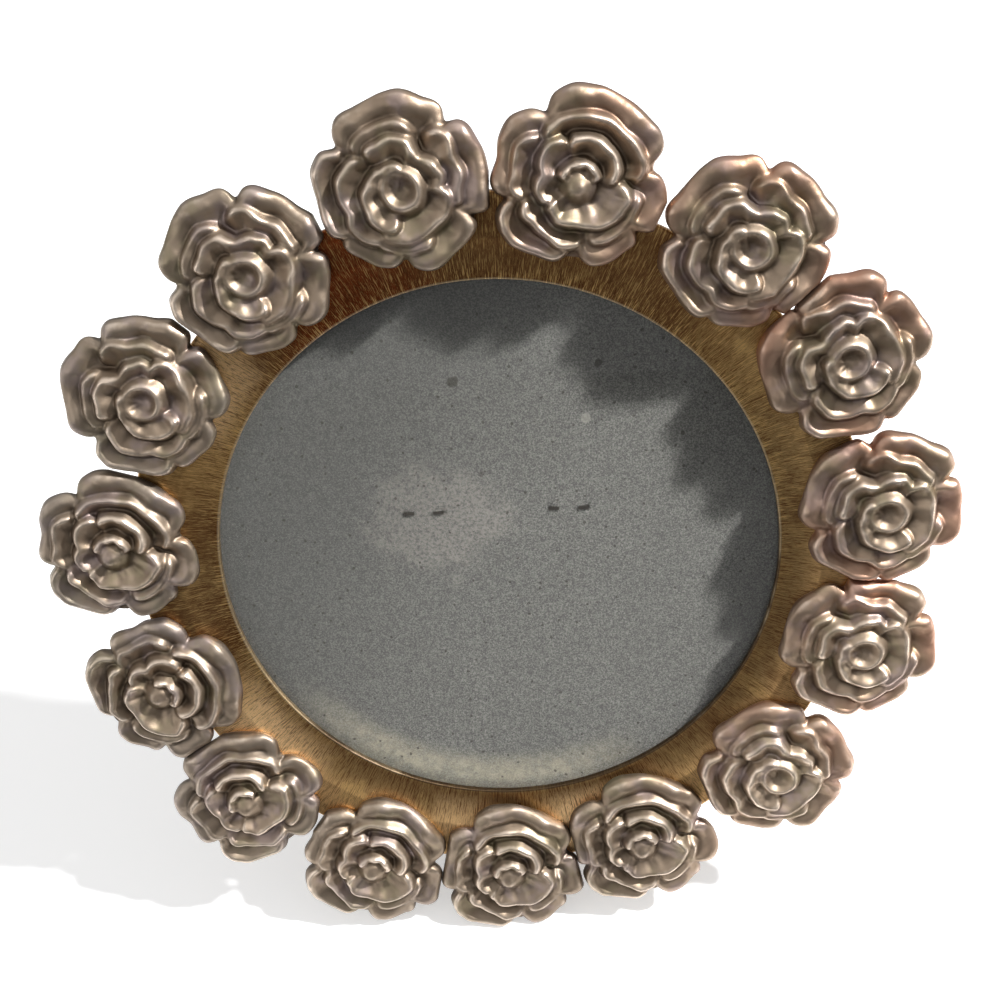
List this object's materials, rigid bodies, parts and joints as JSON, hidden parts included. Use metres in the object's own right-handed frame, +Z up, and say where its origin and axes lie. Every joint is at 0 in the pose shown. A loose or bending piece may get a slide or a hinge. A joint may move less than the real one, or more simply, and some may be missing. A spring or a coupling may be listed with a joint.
{
  "type": "round photo frame",
  "caption": "Round table photo frame: a dished brass ring with cast metal roses around the window, glass, grey backing board and a velvet easel leg.",
  "frame": {"origin": "centre of the overall box at the level of the table that the frame stands on", "axes": "+Z up, +X to the right as the viewer sees it and along the longest extent, -Y towards the viewer; the ring leans back 15 degrees from upright"},
  "size_m": [0.1432, 0.0516, 0.1366],
  "materials": {
    "rose_metal": "satin champagne pewter, darker in the folds, rubbed bright on the petal lips",
    "ring_brass": "antiqued gold, scratch brushed outwards from the window",
    "glass": "clear picture glass",
    "greyboard": "bare grey chipboard with fibres and specks",
    "leg_greyboard": "bare grey board at its cut edges",
    "velvet": "short black velvet",
    "hinge_steel": "zinc plated sheet",
    "staple_steel": "bright wire",
    "fastener_brass": "brass plated"
  },
  "bodies": {
    "frame": {"face_ring": "ring_brass", "pocket_rim": "ring_brass", "rose_01": "rose_metal", "rose_02": "rose_metal", "rose_03": "rose_metal", "rose_04": "rose_metal", "rose_05": "rose_metal", "rose_06": "rose_metal", "rose_07": "rose_metal", "rose_08": "rose_metal", "rose_09": "rose_metal", "rose_10": "rose_metal", "rose_11": "rose_metal", "rose_12": "rose_metal", "rose_13": "rose_metal", "rose_14": "rose_metal", "rose_15": "rose_metal", "glass": "glass", "backing_board": "greyboard", "back_velvet": "velvet", "hinge_board_leaf": "hinge_steel", "hinge_pin": "hinge_steel", "staple_left": "staple_steel", "staple_right": "staple_steel", "clip_screw_1": "hinge_steel", "clip_screw_2": "hinge_steel", "clip_screw_3": "hinge_steel"},
    "easel_leg": {"hinge_leg_leaf": "hinge_steel", "leg_board": "leg_greyboard", "leg_velvet": "velvet", "leg_rivets": "fastener_brass"},
    "clip_1": {"turn_clip_1": "fastener_brass"},
    "clip_2": {"turn_clip_2": "fastener_brass"},
    "clip_3": {"turn_clip_3": "fastener_brass"}
  },
  "joints": [
    {"name": "easel_hinge", "type": "hinge", "parent": "frame", "child": "easel_leg", "pos_m": [0.00001, 0.00383, 0.06666], "axis": [1, 0, 0], "range_deg": [-32, 0]},
    {"name": "clip_1_swivel", "type": "hinge", "parent": "frame", "child": "clip_1", "pos_m": [0.00001, 0.01532, 0.11524], "axis": [0, -0.9659, 0.2588], "range_deg": [-90, 90]},
    {"name": "clip_2_swivel", "type": "hinge", "parent": "frame", "child": "clip_2", "pos_m": [-0.04476, -0.00475, 0.04034], "axis": [0, -0.9659, 0.2588], "range_deg": [-90, 90]},
    {"name": "clip_3_swivel", "type": "hinge", "parent": "frame", "child": "clip_3", "pos_m": [0.04478, -0.00475, 0.04034], "axis": [0, -0.9659, 0.2588], "range_deg": [-90, 90]}
  ]
}
